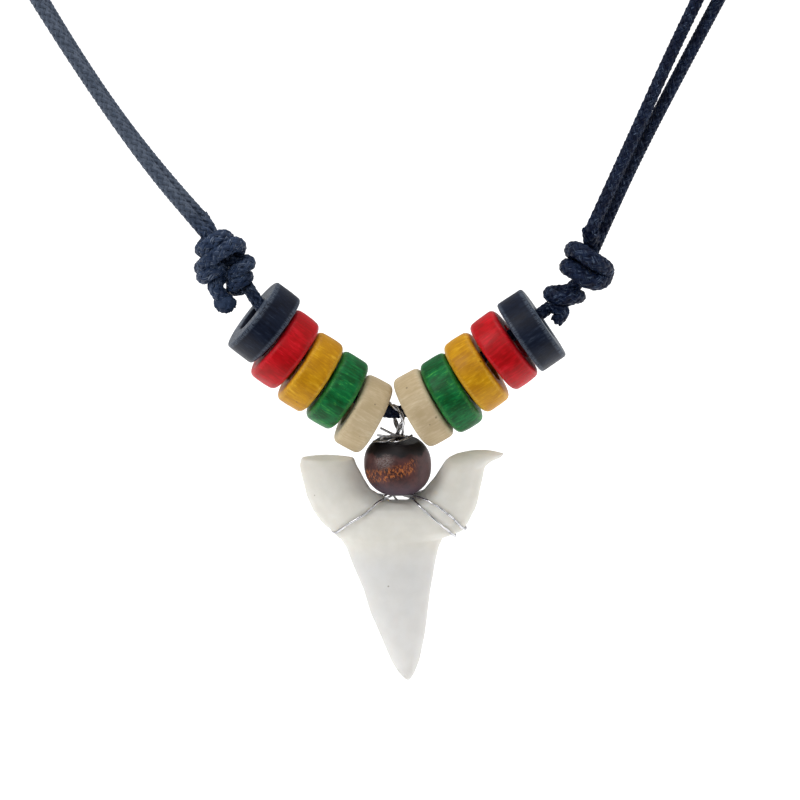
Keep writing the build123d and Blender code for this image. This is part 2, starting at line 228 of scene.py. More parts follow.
def strands_tree():
    """Strands laid round a line, both ways as in a braid or one way as in a twist."""
    tree = bpy.data.node_groups.new("laid strands", "GeometryNodeTree")
    tree.interface.new_socket("Line", in_out="INPUT", socket_type="NodeSocketGeometry")
    for name in ("Reach", "Lift", "Width", "Thickness", "Lay", "Step", "Core"):
        tree.interface.new_socket(name, in_out="INPUT", socket_type="NodeSocketFloat")
    for name in ("Strands", "Ways", "Sides"):
        tree.interface.new_socket(name, in_out="INPUT", socket_type="NodeSocketInt")
    tree.interface.new_socket("Finish", in_out="INPUT", socket_type="NodeSocketMaterial")
    tree.interface.new_socket("Cord", in_out="OUTPUT", socket_type="NodeSocketGeometry")

    start = Socket(tree)
    given = start.node("NodeGroupInput")
    line = start.node("GeometryNodeMeshToCurve", None, {0: given.of("Line")})
    line = start.node("GeometryNodeResampleCurve", {"mode": "LENGTH"}, {0: line, 3: given.of("Step")})
    strands = start.node(
        "GeometryNodeDuplicateElements", {"domain": "SPLINE"}, {0: line, 2: given.of("Strands")}
    )
    index = strands.of("Duplicate Index")
    one_way = given.of("Strands") / given.of("Ways")
    way = 1 - 2 * (index % given.of("Ways"))
    place = start.math("FLOOR", index / given.of("Ways")) / one_way
    turned = start.node("GeometryNodeSplineParameter", None, None, "Length") / given.of("Lay") * math.tau
    angle = way * turned + place * math.tau
    lift = way * start.math("COSINE", one_way * turned) * given.of("Lift")
    normal = start.node("GeometryNodeInputNormal")
    beside = start.vector("CROSS_PRODUCT", start.node("GeometryNodeInputTangent"), normal)
    outward = start.vector(
        "ADD", normal.scaled(start.math("COSINE", angle)), beside.scaled(start.math("SINE", angle))
    )
    kept = start.node(
        "GeometryNodeStoreNamedAttribute",
        {"data_type": "FLOAT_VECTOR", "domain": "POINT"},
        {0: strands, "Name": "outward", "Value": outward},
    )
    millimetres = start.node("GeometryNodeSplineParameter", None, None, "Length") * 1000.0
    travelled = millimetres + index * STRAND_SHIFT
    kept = start.node(
        "GeometryNodeStoreNamedAttribute",
        {"data_type": "FLOAT", "domain": "POINT"},
        {0: kept, "Name": "travelled", "Value": travelled},
    )
    moved_out = outward.scaled(given.of("Reach") + lift)
    moved = start.node("GeometryNodeSetPosition", None, {0: kept, 3: moved_out})
    outward_kept = start.node(
        "GeometryNodeInputNamedAttribute", {"data_type": "FLOAT_VECTOR"}, {"Name": "outward"}
    )
    faced = start.node("GeometryNodeSetCurveNormal", {"mode": "FREE"}, {0: moved, 2: outward_kept})
    ring = start.node("GeometryNodeCurvePrimitiveCircle", None, {0: given.of("Sides"), 4: 0.5})
    spot = start.node("GeometryNodeInputPosition")
    across = start.node("ShaderNodeSeparateXYZ", None, {0: spot}, "Y")
    ring = start.node(
        "GeometryNodeStoreNamedAttribute",
        {"data_type": "FLOAT", "domain": "POINT"},
        {0: ring, "Name": "across", "Value": across * 2},
    )
    size = start.node("ShaderNodeCombineXYZ", None, {0: given.of("Thickness"), 1: given.of("Width"), 2: 1.0})
    ring = start.node("GeometryNodeTransform", None, {0: ring, 3: size})
    skin = start.node("GeometryNodeCurveToMesh", None, {0: faced, 1: ring, "Fill Caps": True})
    round_core = start.node("GeometryNodeCurvePrimitiveCircle", None, {0: 8, 4: given.of("Core")})
    core = start.node("GeometryNodeCurveToMesh", None, {0: line, 1: round_core, "Fill Caps": True})
    both = start.node("GeometryNodeJoinGeometry", None, {0: skin})
    tree.links.new(core.output, both.output.node.inputs[0])
    smooth = start.node("GeometryNodeSetShadeSmooth", None, {0: both})
    real = start.node("GeometryNodeRealizeInstances", None, {0: smooth})
    done = start.node("GeometryNodeSetMaterial", None, {0: real, 2: given.of("Finish")})
    start.node("NodeGroupOutput", None, {0: done})
    return tree


LAID_STRANDS = strands_tree()
BRAID = {
    "Reach": 0.00066,
    "Lift": 0.00007,
    "Width": 0.00060,
    "Thickness": 0.00030,
    "Lay": 0.0066,
    "Step": 0.00028,
    "Core": 0.00062,
    "Strands": 12,
    "Ways": 2,
    "Sides": 5,
}


def plain_mesh(piece):
    """What an object looks like with its modifiers, as a mesh of its own."""
    graph = bpy.context.evaluated_depsgraph_get()
    graph.update()
    shown = piece.evaluated_get(graph)
    return bpy.data.meshes.new_from_object(shown, preserve_all_data_layers=True, depsgraph=graph)


def smooth_line(points, name):
    """Points along the NURBS spline that a route's points control."""
    curve = bpy.data.curves.new(name, "CURVE")
    curve.dimensions = "3D"
    curve.resolution_u = 24
    spline = curve.splines.new("NURBS")
    spline.points.add(len(points) - 1)
    for control, point in zip(spline.points, points):
        control.co = (*point, 1.0)
    spline.order_u = 3
    spline.use_endpoint_u = True
    route = add_object(name, curve)
    line = [v.co.copy() for v in plain_mesh(route).vertices]
    bpy.data.objects.remove(route)
    return line


def laid_cord(line, name, finish, **sizes):
    """A braided or twisted cord along a line, as one plain mesh."""
    mesh = bpy.data.meshes.new(name)
    mesh.from_pydata(line, [(i, i + 1) for i in range(len(line) - 1)], [])
    piece = add_object(name, mesh)
    modifier = piece.modifiers.new("strands", "NODES")
    modifier.node_group = LAID_STRANDS
    values = {**BRAID, "Finish": finish, **sizes}
    for item in LAID_STRANDS.interface.items_tree:
        if item.in_out == "INPUT" and item.name in values:
            modifier[item.identifier] = values[item.name]
    made = plain_mesh(piece)
    piece.modifiers.clear()
    piece.data = made
    return piece


def cord_finish():
    """Waxed braid: dark yarns with short pale scuffs along the strands, and painted light that makes the left
    strands slate blue and paler still higher up.
    """
    finish, start = new_finish("waxed cord")
    spot = start.node("ShaderNodeTexCoord", None, None, "Object").scaled(1000.0)
    across = start.node("ShaderNodeAttribute", {"attribute_name": "across"}, None, "Fac")
    travelled = start.node("ShaderNodeAttribute", {"attribute_name": "travelled"}, None, "Fac")
    yarn = start.math("SINE", across * 8.0) * 0.5 + 0.5
    strand_place = start.node("ShaderNodeCombineXYZ", None, {0: across * 1.9, 1: travelled * 0.75})
    scuffs = start.grain(strand_place, 1.6, 3.0, 0.6)
    parts = start.node("ShaderNodeSeparateXYZ", None, {0: spot}, "X")
    # painted light: the strands on the left are painted paler and bluer than those on the right
    rub_and_left_light = parts.between(-22.0, -8.0, 1.0, 0.0)
    # painted sheen: higher up on the left the strands are painted paler still, and show fewer scuffs
    smooth = rub_and_left_light * start.node("ShaderNodeSeparateXYZ", None, {0: spot}, "Z").between(-122.0, -117.0)
    patches = start.grain(spot, 0.8, 3.0)
    deep = start.mix(rub_and_left_light, (0.0010, 0.0035, 0.018), (0.008, 0.019, 0.052))
    deep = start.mix(smooth, deep, (0.062, 0.083, 0.124))
    mid = start.mix(rub_and_left_light, (0.006, 0.016, 0.050), (0.033, 0.056, 0.112))
    mid = start.mix(smooth, mid, (0.120, 0.147, 0.200))
    pale = start.mix(rub_and_left_light, (0.095, 0.130, 0.195), (0.185, 0.220, 0.285))
    colour = start.mix(patches.between(0.36, 0.68) * 0.65 + yarn * 0.35, deep, mid)
    fleck = scuffs.between(0.55, 0.63) * patches.between(0.38, 0.56) * (1.0 - smooth * 0.7)
    colour = start.mix(fleck * 0.9, colour, pale)
    height = yarn * 0.5 + scuffs * 0.9
    bump = start.node("ShaderNodeBump", None, {"Strength": 0.45, "Distance": 0.00005, "Height": height})
    surface(
        start,
        {
            "Base Color": colour,
            "Roughness": patches.between(0.3, 0.7, 0.44, 0.62),
            "Specular IOR Level": 0.14,
            "Normal": bump,
        },
    )
    return finish


CORD_FINISH = cord_finish()

front_route = [
    (-21.9, 0, 20.5), (-25.1, 0, 24.4), (-31.9, 0, 32.7), (-41.2, 0.3, 46.5), (-51.7, 1.0, 64.0),
    (-54.0, 2.2, 83.0), (-51.8, 4.0, 103.0), (-43.4, 6.4, 122.0), (-29.0, 8.9, 137.0),
    (-11.0, 11.0, 145.3), (9.5, 11.0, 145.3), (27.0, 8.9, 137.4), (40.2, 6.2, 123.0),
    (47.6, 3.8, 104.0), (49.2, 1.9, 85.5), (45.2, 0.6, 68.5), (36.6, -0.5, 51.4),
    (29.6, -1.1, 35.2), (24.8, -1.45, 24.4),
]
back_route = [
    (-25.3, 1.95, 25.6), (-32.0, 2.05, 33.2), (-41.3, 2.4, 46.8), (-50.4, 3.0, 63.2),
    (-54.7, 4.1, 83.0), (-52.6, 5.9, 103.3), (-44.1, 8.3, 122.6), (-29.4, 10.7, 138.0),
    (-11.2, 12.9, 146.0), (9.7, 12.9, 146.0), (27.4, 10.7, 138.2), (41.0, 8.0, 123.4),
    (48.8, 5.5, 104.2), (50.7, 3.4, 85.3), (47.8, 1.9, 67.2), (38.7, 0.4, 50.0),
    (30.7, 0.6, 34.0), (26.1, 0.4, 23.4), (23.7, 0, 17.9),
]
front_line = smooth_line([near_front(*point) for point in front_route], "front_route")
back_line = smooth_line([near_front(*point) for point in reversed(back_route)], "back_route")
neck_front = laid_cord(front_line, "neck_strand_front", CORD_FINISH)
neck_back = laid_cord(back_line, "neck_strand_back", CORD_FINISH)


# The knots: each strand's end is wound twice round the other strand and drawn tight, the left
# one with a frayed tail, and the cord is knotted on itself beside the beads at each end.

left_sliding_turns = [
    (-25.3, 1.95, 25.6), (-24.03, 1.9, 23.15), (-24.68, 1.7, 22.0), (-25.06, 0.0, 21.65),
    (-24.42, -1.7, 22.37), (-23.38, -2.1, 23.28), (-22.47, -1.6, 23.69), (-21.95, -0.2, 23.18),
    (-21.95, 1.5, 22.19), (-23.38, 2.6, 20.41), (-24.68, 2.0, 19.36), (-25.19, 0.2, 19.17),
    (-24.55, -1.7, 20.22), (-23.25, -2.5, 21.51), (-21.82, -2.4, 22.42), (-20.78, -1.2, 22.64),
    (-20.39, 0.6, 21.75), (-21.3, 2.3, 20.09), (-22.99, 2.4, 18.72), (-24.42, 1.5, 17.88),
    (-24.9, 0.0, 18.1), (-24.6, -1.6, 18.6), (-23.9, -2.1, 19.2), (-23.0, -1.3, 19.3),
    (-22.5, -0.3, 18.6), (-23.0, -0.8, 17.9), (-23.4, -1.3, 17.1), (-22.9, -1.4, 16.2),
    (-22.4, -1.4, 15.5),
]
right_sliding_turns = [
    (24.81, -1.45, 24.46), (25.06, 0.4, 22.35), (24.81, 2.2, 20.65), (23.51, 2.4, 20.33),
    (22.7, 0.8, 21.2), (22.75, -0.8, 21.85), (23.45, -2.2, 21.95), (24.81, -3.0, 21.15),
    (26.15, -2.4, 20.2), (26.85, -0.8, 19.2), (26.75, 1.2, 18.1), (25.32, 2.4, 17.64),
    (23.25, 1.9, 18.31), (22.15, 0.5, 19.23), (22.05, -0.9, 19.5), (22.9, -2.2, 19.25),
    (24.42, -2.8, 18.3), (25.85, -2.0, 17.85), (26.6, -0.5, 17.95), (26.75, 1.0, 18.29),
    (25.84, 1.8, 18.61),
]
left_stopper_turns = [
    (-21.9, 0.0, 20.5), (-21.3, 0.8, 19.95), (-20.39, 1.5, 19.77), (-19.35, 1.0, 19.9),
    (-19.09, -0.3, 19.84), (-19.74, -1.5, 19.76), (-20.65, -1.6, 19.25), (-21.3, -0.8, 18.37),
    (-21.3, 0.8, 17.4), (-20.39, 1.6, 17.32), (-19.48, 1.0, 17.88), (-19.42, -0.6, 18.04),
    (-20.0, -1.6, 17.91), (-20.91, -1.4, 17.32), (-21.17, -0.2, 16.59), (-20.65, 0.9, 16.16),
    (-19.87, 0.8, 16.46), (-19.3, 0.0, 16.81),
]
right_stopper_turns = [
    (23.7, 0.0, 17.88), (22.99, 0.4, 16.83), (22.08, 0.9, 16.03), (20.91, 1.2, 15.81),
    (19.87, 0.4, 15.89), (19.74, -0.9, 15.84), (20.65, -2.0, 15.73), (21.95, -2.2, 15.78),
    (23.12, -1.2, 15.65), (23.51, 0.2, 15.41), (22.86, 1.4, 14.95), (21.56, 1.5, 14.39),
    (20.52, 0.9, 14.01), (20.26, -0.4, 14.09), (20.91, -1.4, 14.22), (21.43, -1.2, 13.77),
    (21.1, -1.0, 13.1), (20.55, -0.8, 12.35),
]
KNOT_STEP = 0.00020
# each knot: its route, and how much thicker than the strands its drawn-up bands are
knot_shapes = {
    "left_sliding": (left_sliding_turns, 1.22),
    "right_sliding": (right_sliding_turns, 1.34),
    "left_stopper": (left_stopper_turns, 1.08),
    "right_stopper": (right_stopper_turns, 1.06),
}


def through(points, pieces=8):
    """A smooth line that passes through every point, a Catmull-Rom spline."""
    padded = [points[0] * 2 - points[1]] + points + [points[-1] * 2 - points[-2]]
    line = []
    for a, b, c, d in zip(padded, padded[1:], padded[2:], padded[3:]):
        squared = a * 2 - b * 5 + c * 4 - d
        cubed = b * 3 - a - c * 3 + d
        for step in range(pieces):
            t = step / pieces
            line.append(0.5 * (b * 2 + (c - a) * t + squared * t**2 + cubed * t**3))
    return line + [points[-1]]


knots = {}
for knot_name, (turns, swelling) in knot_shapes.items():
    line = through([near_front(*point) for point in turns])
    fuller = {size: BRAID[size] * swelling for size in ("Reach", "Width", "Thickness", "Core")}
    knot = laid_cord(line, f"{knot_name}_turns", CORD_FINISH, Step=KNOT_STEP, **fuller)
    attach(knot, "necklace")
    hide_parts(f"{knot_name}_knot")
    knots[knot_name] = knot

# The left tail's end is frayed to a dark tuft.
tuft_middle = near_front(-22.15, -1.5, 14.92)
tuft_radii = Vector((1.42, 1.18, 1.22)) * 0.001
tuft_down = Vector((0.45, 0.0, -0.9)).normalized()
tuft_mesh = bpy.data.meshes.new("frayed_tail")
shape = bmesh.new()
bmesh.ops.create_icosphere(shape, subdivisions=5, radius=1.0)
for vertex in shape.verts:
    direction = vertex.co.normalized()
    low = max(direction.dot(tuft_down), 0.0)
    tufted = noise.noise(direction * 2.2) * 0.14 + noise.noise(direction * 9.0) * (0.05 + 0.16 * low)
    vertex.co = tuft_middle + direction * tuft_radii * (1.0 + tufted)
shape.to_mesh(tuft_mesh)
shape.free()
tuft_mesh.shade_smooth()
tuft_mesh.materials.append(CORD_FINISH)
tuft = add_object("frayed_tail", tuft_mesh)
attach(tuft, "necklace")

for strand, node, path, length, knot in (
    (neck_front, "neck_cord_front", front_line, 0.3167, knots["right_sliding"]),
    (neck_back, "neck_cord_back", back_line, 0.3206, knots["left_sliding"]),
):
    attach(strand, "necklace")
    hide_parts(node)


# The bead thread: the stretch of the same cord that carries the ten discs, seen between the two
# plain ones and at both ends.

thread_route = [
    (-19.3, 0, 16.8), (-17.2, 0, 13.3), (-14.2, 0, 9.6), (-9.0, 0, 5.0), (-2.7, 0, -0.2),
    (2.9, 0, 0.2), (8.7, 0, 5.2), (14.9, 0, 10.4), (19.8, 0, 14.1),
]
thread_line = smooth_line([near_front(*point) for point in thread_route], "thread_route")
thread = laid_cord(thread_line, "threaded_cord", CORD_FINISH, Step=KNOT_STEP)
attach(thread, "necklace")
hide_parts("bead_thread")


# The disc beads: slices of drilled and stained dowel, tumbled smooth. The grain runs through
# from face to face, and a painted highlight makes the rounded edges paler.

BEAD_HOLE = 0.0025
BEAD_THICK = 0.0039
BEAD_SEGMENTS = 96
HOLE_LIP = 0.00016
EDGE_STEPS = 6
# the shaders' own measure of a disc is in millimetres, with this radius for each of them
SHADED_RADIUS = 5.0
# the edges are painted paler, as a highlight, where the ways out from the axis and along it add up to this
EDGE_HIGHLIGHT_FROM_TO = (6.22, 6.62)


def disc_place(node):
    """Centre, axis and radius of a CAD disc, from its mesh."""
    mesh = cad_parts[node].data
    mesh.calc_loop_triangles()
    corners = np.array([[mesh.vertices[i].co for i in t.vertices] for t in mesh.loop_triangles])
    areas = np.array([t.area for t in mesh.loop_triangles])
    middles = corners.mean(axis=1)
    centre = (middles * areas[:, None]).sum(axis=0) / areas.sum()
    offsets = (middles - centre) * np.sqrt(areas)[:, None]
    axes = np.linalg.eigh(offsets.T @ offsets)[1]
    axis = Vector(axes[:, 0])
    if axis.x < 0:
        axis.negate()
    aside = corners.reshape(-1, 3) - centre
    aside -= np.outer(aside @ axes[:, 0], axes[:, 0])
    return Vector(centre), axis.normalized(), float(np.linalg.norm(aside, axis=1).max())


def turned_mesh(name, points, segments):
    """A mesh through the points of a closed section turned in equal steps, normals outward."""
    rows = len(points) // segments
    faces = []
    for step in range(segments):
        for row in range(rows):
            here = step * rows + row
            there = ((step + 1) % segments) * rows + row
            onward = (row + 1) % rows - row
            faces.append((here, here + onward, there + onward, there))
    mesh = bpy.data.meshes.new(name)
    mesh.from_pydata(points, [], faces)
    shape = bmesh.new()
    shape.from_mesh(mesh)
    bmesh.ops.recalc_face_normals(shape, faces=shape.faces)
    shape.to_mesh(mesh)
    shape.free()
    mesh.shade_smooth()
    return mesh


def rounded_profile(radius, edge, bulge):
    """Half a section of a disc, as (along, out) pairs from the middle of the hole to the rim's."""
    half_thick = BEAD_THICK / 2
    rows = [(half_thick * s, BEAD_HOLE) for s in (0.0, 0.35, 0.7)]
    rows.append((half_thick - HOLE_LIP, BEAD_HOLE))
    rows.append((half_thick - HOLE_LIP * 0.3, BEAD_HOLE + HOLE_LIP * 0.3))
    rows.append((half_thick, BEAD_HOLE + HOLE_LIP))
    rows += [(half_thick, BEAD_HOLE + (radius - edge - BEAD_HOLE) * s) for s in (0.35, 0.7, 1.0)]
    for step in range(1, EDGE_STEPS + 1):
        angle = math.radians(90) * step / EDGE_STEPS
        rows.append((half_thick - edge * (1 - math.cos(angle)), radius - edge * (1 - math.sin(angle))))
    flat = half_thick - edge
    rows += [(flat * s, radius) for s in (0.75, 0.5, 0.25)]
    return [(along, out - bulge * (along / half_thick) ** 2 * (out > radius - edge)) for along, out in rows]


def disc_bead(side, colour, finish, edge, bulge, lumps, seed):
    """A turned disc at a CAD bead's place, slightly out of true as tumbled wood is."""
    node = f"{side}_{colour}_bead"
    centre, axis, radius = disc_place(node)
    upward = Vector((0, 0, 1)) - axis * axis.z
    upward.normalize()
    sideways = axis.cross(upward)
    half_profile = rounded_profile(radius, edge, bulge)
    profile = half_profile + [(-along, out) for along, out in reversed(half_profile[1:])]
    points = []
    local = []
    drift = Vector((seed * 3.1, seed * 1.7, seed * 5.3))
    for step in range(BEAD_SEGMENTS):
        angle = math.tau * step / BEAD_SEGMENTS
        for along, out in profile:
            spot = Vector((out * math.cos(angle), out * math.sin(angle), along))
            rough = noise.noise(spot * 260 + drift) * lumps + noise.noise(spot * 900 + drift) * lumps * 0.25
            grown = 1 + rough / radius * (out / radius) ** 2
            across = sideways * spot.x * grown + upward * spot.y * grown
            points.append(centre + across + axis * (along + rough * 0.4))
            shaded = SHADED_RADIUS / radius
            local += (spot.x * shaded, spot.y * shaded, along * 1000)
    mesh = turned_mesh(node, points, BEAD_SEGMENTS)
    turned = mesh.attributes.new("turned", "FLOAT_VECTOR", "POINT")
    turned.data.foreach_set("vector", local)
    mesh.materials.append(finish)
    bead = add_object(f"{side}_{colour}_disc", mesh)
    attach(bead, "necklace")
    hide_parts(node)


def stained_wood(name, deep, stain, pale, seed, edge_highlight, flecks, pits, face_wear, gloss):
    """Stained and lightly waxed dowel: grain from face to face, scratches, pits and a painted highlight along
    the edges.
    """
    finish, start = new_finish(name)
    turned = start.node("ShaderNodeAttribute", {"attribute_name": "turned"}, None, "Vector")
    parts = start.node("ShaderNodeSeparateXYZ", None, {0: turned})
    along = start.math("ABSOLUTE", parts.of("Z"))
    out = start.vector("LENGTH", start.vector("MULTIPLY", turned, (1.0, 1.0, 0.0)), output=1)
    shifted = start.vector("ADD", turned, (seed * 7.3, seed * 2.9, seed * 4.1))
    drawn = start.vector("MULTIPLY", shifted, (1.0, 1.0, 0.16))
    broad = start.grain(shifted, 0.50, 2.0)
    fibres = start.grain(drawn, 3.0, 4.0, 0.66)
    fine = start.grain(drawn, 8.5, 3.0, 0.62)
    half_thick = BEAD_THICK * 500
    face = along.between(half_thick * 0.94, half_thick * 0.99)
    # painted highlight: the rounded edges are painted paler, in patches that follow the fine grain
    edge = (out + along).between(*EDGE_HIGHLIGHT_FROM_TO) * (1.0 - face)
    body = broad.between(0.36, 0.64) * 0.5 + fibres.between(0.42, 0.62) * 0.5
    colour = start.mix(body, deep, stain)
    struck = fibres.between(0.56, 0.68) * broad.between(0.42, 0.62) + fine.between(0.60, 0.72) * 0.7
    colour = start.mix(struck * flecks, colour, pale)
    colour = start.mix(edge * fine.between(0.38, 0.56) * edge_highlight, colour, pale)
    rub_and_left_light = start.grain(shifted, 4.0, 4.0, 0.7).between(0.36, 0.56)
    colour = start.mix(face * rub_and_left_light * face_wear, colour, pale)
    pit = start.specks(shifted, 0.55).between(0.05, 0.10, 1.0, 0.0) * pits
    colour = start.mix(pit, colour, tuple(value * 0.25 for value in deep))
    height = fibres * 0.6 + fine * 0.5 - pit * 0.8
    bump = start.node("ShaderNodeBump", None, {"Strength": 0.38, "Distance": 0.00010, "Height": height})
    surface(
        start,
        {
            "Base Color": colour,
            "Roughness": fibres.between(0.3, 0.7, gloss - 0.06, gloss + 0.10),
            "Specular IOR Level": 0.18,
            "Coat Weight": 0.04,
            "Coat Roughness": 0.25,
            "Normal": bump,
        },
    )
    return finish


# each stain: deep, stain and pale, then the painted edge highlight, flecks, pits, face wear and roughness
stains = {
    "black": ((0.001, 0.003, 0.012), (0.005, 0.011, 0.030), (0.12, 0.150, 0.20), 0.55, 0.16, 0.0, 0.80, 0.44),
    "red": ((0.36, 0.001, 0.002), (0.62, 0.001, 0.008), (0.74, 0.030, 0.050), 0.45, 0.30, 0.08, 0.1, 0.44),
    "yellow": ((0.46, 0.19, 0.001), (0.68, 0.34, 0.002), (0.88, 0.62, 0.08), 0.50, 0.40, 0.6, 0.1, 0.44),
    "green": ((0.001, 0.060, 0.012), (0.001, 0.190, 0.046), (0.12, 0.50, 0.06), 0.35, 0.50, 0.1, 0.1, 0.44),
    "natural": ((0.50, 0.385, 0.225), (0.62, 0.50, 0.32), (0.76, 0.66, 0.49), 0.40, 0.35, 0.6, 0.3, 0.55),
}
# each shape: edge radius, fall of the rim towards the edges, and lumps, in metres
disc_shapes = {
    "black": (0.00035, 0.00004, 0.00006),
    "red": (0.00066, 0.00012, 0.00010),
    "yellow": (0.00070, 0.00014, 0.00014),
    "green": (0.00072, 0.00014, 0.00013),
    "natural": (0.00072, 0.00010, 0.00010),
}
for number, (side, colour) in enumerate((s, c) for s in ("left", "right") for c in stains):
    deep, stain, pale, *edge_highlight = stains[colour]
    seed = number + 1.0
    wood = stained_wood(f"{side} {colour} wood", deep, stain, pale, seed, *edge_highlight)
    disc_bead(side, colour, wood, *disc_shapes[colour], seed)


# The ball bead: a small dark stained and polished wooden ball, a little flat at both drilled
# ends, with the pale rays of its grain showing through on the front.

low_corner, high_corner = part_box("ball_bead")
BALL_MIDDLE = (low_corner + high_corner) / 2
BALL_RADIUS = (high_corner.x - low_corner.x) / 2
BALL_HALF_HEIGHT = (high_corner.z - low_corner.z) / 2
BALL_BORE = 0.0008
BALL_LIP = 0.0004
BALL_SEGMENTS = 112
BALL_RINGS = 48
# how full the ball is above and below its middle, 2 being round, and its narrower foot
SHOULDER_FULLNESS = 2.35
FOOT_FULLNESS = 2.2
FOOT_SHARE = 0.85


def polished_ball():
    """A turned ball with broad shoulders, drilled through, its foot a little narrower."""
    flat = math.sqrt(BALL_RADIUS**2 - BALL_HALF_HEIGHT**2)
    foot = flat * FOOT_SHARE
    profile = [(BALL_BORE, BALL_HALF_HEIGHT - BALL_LIP), (BALL_BORE + BALL_LIP * 0.4, BALL_HALF_HEIGHT)]
    profile += [(BALL_BORE + (flat - BALL_BORE) * s, BALL_HALF_HEIGHT) for s in (0.4, 0.7, 0.93)]
    for ring in range(BALL_RINGS + 1):
        up = math.cos(math.pi * ring / BALL_RINGS)
        fullness, end = (SHOULDER_FULLNESS, flat) if up > 0 else (FOOT_FULLNESS, foot)
        tall = (1 - (end / BALL_RADIUS) ** fullness) ** (1 / fullness)
        out = BALL_RADIUS * (1 - abs(up * tall) ** fullness) ** (1 / fullness)
        profile.append((out, BALL_HALF_HEIGHT * up))
    profile += [(BALL_BORE + (foot - BALL_BORE) * s, -BALL_HALF_HEIGHT) for s in (0.93, 0.7, 0.4)]
    profile += [(BALL_BORE + BALL_LIP * 0.4, -BALL_HALF_HEIGHT), (BALL_BORE, -BALL_HALF_HEIGHT + BALL_LIP)]
    points = []
    for turn in range(BALL_SEGMENTS):
        angle = math.tau * turn / BALL_SEGMENTS
        for out, up in profile:
            spot = Vector((out * math.cos(angle), out * math.sin(angle), up))
            lump = noise.noise(spot * 210 + Vector((3.0, 1.0, 2.0))) * 0.00016 * (out / BALL_RADIUS)
            points.append(BALL_MIDDLE + spot * (1 + lump / BALL_RADIUS))
    return turned_mesh("dark_ball", points, BALL_SEGMENTS)


ball_finish, start = new_finish("polished dark wood")
spot = start.vector("SUBTRACT", start.node("ShaderNodeTexCoord", None, None, "Object"), tuple(BALL_MIDDLE))
spot = spot.scaled(1000.0)
parts = start.node("ShaderNodeSeparateXYZ", None, {0: spot})
level = parts.of("Z")
# a belt of short pale dashes, a painted highlight on the upper left, a dark cap, dust near the foot, and
# painted reflections below and on the right
clouds = start.grain(spot, 0.60, 4.0, 0.6)
dashes = start.grain(start.vector("MULTIPLY", spot, (1.9, 1.9, 0.9)), 2.2, 4.0, 0.72)
rub = start.grain(start.vector("MULTIPLY", spot, (0.8, 1.0, 2.2)), 5.0, 4.0, 0.75)
offset = start.math("ABSOLUTE", level - parts.of("X") * 0.32 - 0.35)
rays = offset.between(0.35, 1.25, 1.0, 0.0) * parts.of("X").between(1.7, 2.8, 1.0, 0.0)
rays = rays * parts.of("Y").between(-2.0, -1.0, 1.0, 0.0)
body = start.mix(clouds.between(0.35, 0.65), (0.030, 0.007, 0.007), (0.090, 0.028, 0.025))
# painted reflection: the lower half is painted a dark purplish blue
body = start.mix(level.between(-3.0, -0.6, 1.0, 0.0) * 0.75, body, (0.052, 0.036, 0.060))
# painted reflection: the right side is painted paler
body = start.mix((parts.of("X") + clouds).between(2.6, 4.2) * 0.6, body, (0.120, 0.075, 0.080))
# painted highlight on the upper left, broken up by a scratchy grain
painted_highlight = start.vector("DISTANCE", spot, (-1.7, -3.4, 1.7), output=1).between(0.7, 1.8, 1.0, 0.0)
body = start.mix(painted_highlight * rub.between(0.40, 0.60) * 0.75, body, (0.24, 0.20, 0.19))
body = start.mix((level + clouds * 2.6).between(3.25, 3.9), body, (0.006, 0.004, 0.006))
body = start.mix(rays * dashes.between(0.50, 0.57) * 0.9, body, (0.50, 0.150, 0.035))
dust = start.specks(spot, 1.1).between(0.05, 0.10, 0.8, 0.0)
body = start.mix(dust * level.between(-3.5, -1.5, 1.0, 0.0), body, (0.5, 0.5, 0.52))
relief = dashes + rub * 0.7
bump = start.node("ShaderNodeBump", None, {"Strength": 0.35, "Distance": 0.00010, "Height": relief})
surface(
    start,
    {
        "Base Color": body,
        "Roughness": clouds.between(0.3, 0.7, 0.42, 0.56),
        "Specular IOR Level": 0.28,
        "Coat Weight": 0.06,
        "Coat Roughness": 0.30,
        "Normal": bump,
    },
)
ball_mesh = polished_ball()
ball_mesh.materials.append(ball_finish)
ball = add_object("dark_ball", ball_mesh)
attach(ball, "pendant")
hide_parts("ball_bead")


# The tooth: cast in off-white resin, with a matt root of two lobes and a smoother blade that
# lets a little light through towards its edges and tip.

TOOTH_VOXEL = 0.00022
SMOOTHINGS = 4
# below the tip's top, and fully from a blend lower, the tip isn't smoothed
TIP_TOP = -0.1780
TIP_BLEND = 0.0020

tooth_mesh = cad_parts["shark_tooth"].data.copy()
shape = bmesh.new()
shape.from_mesh(tooth_mesh)
bmesh.ops.remove_doubles(shape, verts=shape.verts, dist=0.000002)
shape.to_mesh(tooth_mesh)
shape.free()
tooth = add_object("cast_tooth", tooth_mesh)
remesh = tooth.modifiers.new("even", "REMESH")
remesh.mode = "VOXEL"
remesh.voxel_size = TOOTH_VOXEL
even_mesh = plain_mesh(tooth)
for step, factor in (("worn", 0.5), ("kept full", -0.5)):
    rounding = tooth.modifiers.new(step, "SMOOTH")
    rounding.factor = factor
    rounding.iterations = SMOOTHINGS
worn_mesh = plain_mesh(tooth)
tooth.modifiers.clear()
tooth.data = worn_mesh
for vertex, unworn in zip(worn_mesh.vertices, even_mesh.vertices):
    tip_share = min(max((TIP_TOP - unworn.co.z) / TIP_BLEND, 0.0), 1.0)
    vertex.co = vertex.co.lerp(unworn.co, tip_share)
    wave = noise.noise(vertex.co * 170) * 0.00012 + noise.noise(vertex.co * 520) * 0.00003
    vertex.co += vertex.normal * wave
worn_mesh.update()
worn_mesh.shade_smooth()
worn_mesh.materials.clear()

